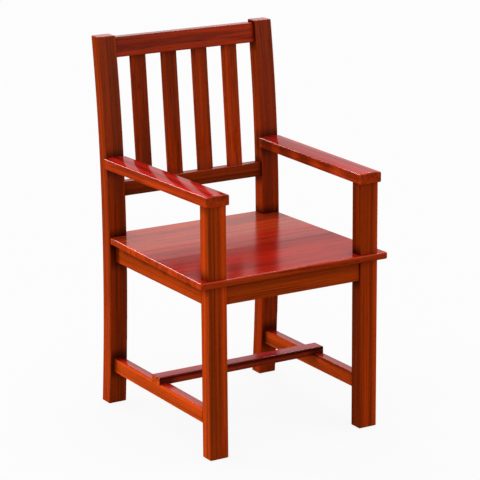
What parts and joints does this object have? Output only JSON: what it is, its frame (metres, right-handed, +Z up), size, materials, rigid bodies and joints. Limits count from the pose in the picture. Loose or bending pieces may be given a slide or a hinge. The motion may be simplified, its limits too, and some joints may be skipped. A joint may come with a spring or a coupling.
{
  "type": "classroom chair",
  "caption": "Wooden classroom armchair with a slatted back between swept rear legs, flat arms, a board seat on aprons and low stretchers.",
  "frame": {"origin": "on the floor, at the middle of the chair's width and depth", "axes": "+Z up, the chair faces -Y, +X is on the right of someone looking at its front"},
  "size_m": [0.5196, 0.5486, 0.9375],
  "materials": {
    "leg_wood": "gloss varnish over red-brown stain",
    "rail_wood": "gloss varnish over red-brown stain",
    "slat_wood": "gloss varnish over red-brown stain",
    "arm_wood": "gloss varnish over red-brown stain",
    "seat_wood": "gloss varnish over red-brown stain",
    "block_wood": "unvarnished",
    "screw_steel": "zinc plated"
  },
  "bodies": {
    "root": {"front_leg_right": "leg_wood", "front_leg_left": "leg_wood", "rear_leg_right": "leg_wood", "rear_leg_left": "leg_wood", "front_apron": "rail_wood", "rear_apron": "rail_wood", "side_apron_right": "rail_wood", "side_apron_left": "rail_wood", "side_stretcher_right": "rail_wood", "side_stretcher_left": "rail_wood", "cross_stretcher": "rail_wood", "crest_rail": "rail_wood", "lower_back_rail": "rail_wood", "back_slat_1": "slat_wood", "back_slat_2": "slat_wood", "back_slat_3": "slat_wood", "back_slat_4": "slat_wood", "arm_right": "arm_wood", "arm_left": "arm_wood", "seat_board_1": "seat_wood", "seat_board_2": "seat_wood", "seat_board_3": "seat_wood", "seat_board_4": "seat_wood", "seat_board_5": "seat_wood", "front_corner_block_right": "block_wood", "front_corner_block_left": "block_wood", "rear_corner_block_right": "block_wood", "rear_corner_block_left": "block_wood", "corner_block_screws": "screw_steel", "seat_screws": "screw_steel", "cross_stretcher_screws": "screw_steel"}
  },
  "joints": []
}
